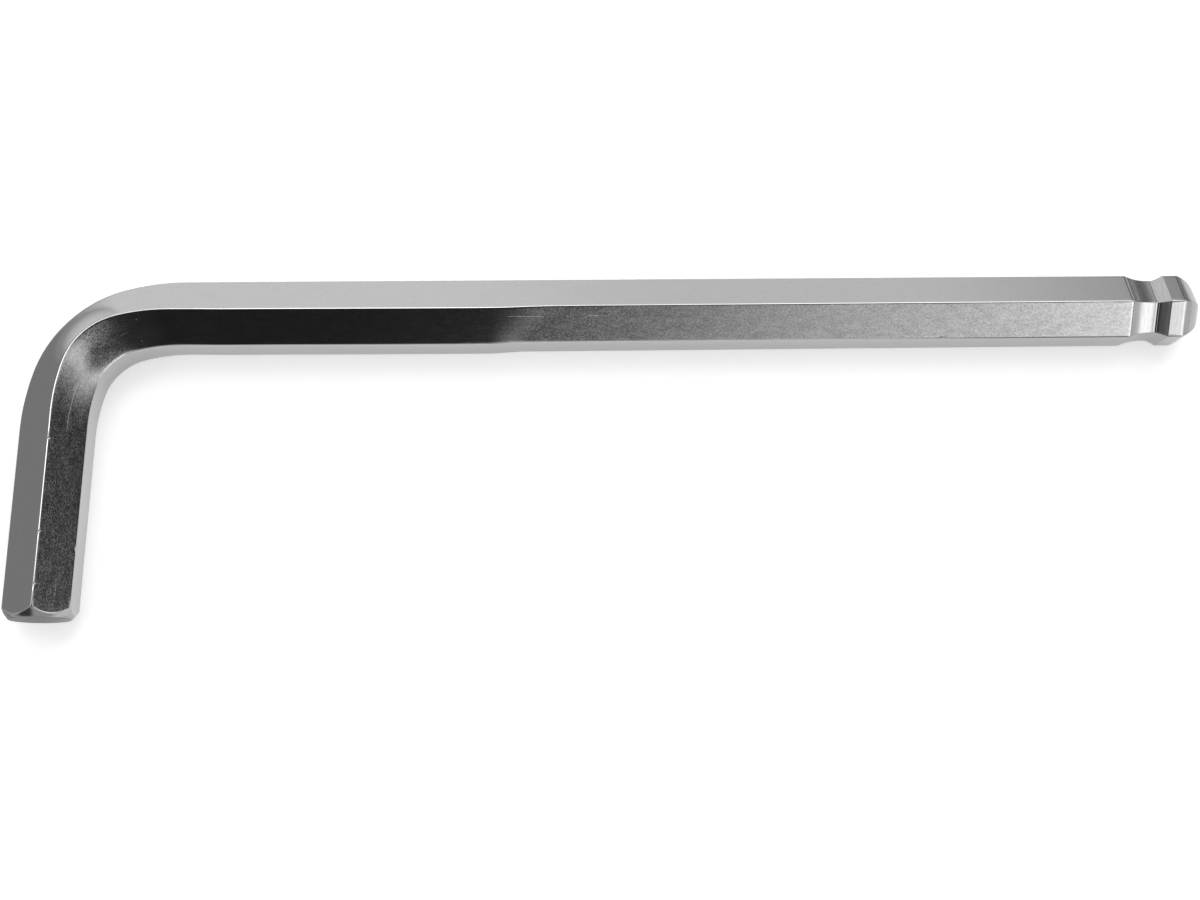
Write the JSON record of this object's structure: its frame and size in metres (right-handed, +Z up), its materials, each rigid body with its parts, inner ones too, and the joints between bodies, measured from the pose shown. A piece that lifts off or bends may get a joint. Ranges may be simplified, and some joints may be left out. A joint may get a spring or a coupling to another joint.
{
  "type": "hex key",
  "caption": "L-shaped hexagonal key with a long arm that ends in a ball end, a rounded bend, and a short arm with a chamfered flat end.",
  "frame": {"origin": "centre of the key's outline on the surface it lies on, at the height of its lower corners", "axes": "+X along the long arm towards the ball end, +Y away from the short arm's end, +Z up, square to the plane of the bend"},
  "size_m": [0.1848, 0.0512, 0.0115],
  "materials": {
    "plated_steel": "bright plating over drawn steel, mirror-like on four flats and slightly satin where it was handled, with fine draw lines and light scratches along the bar"
  },
  "bodies": {
    "root": {"hex_key": "plated_steel"}
  },
  "joints": []
}
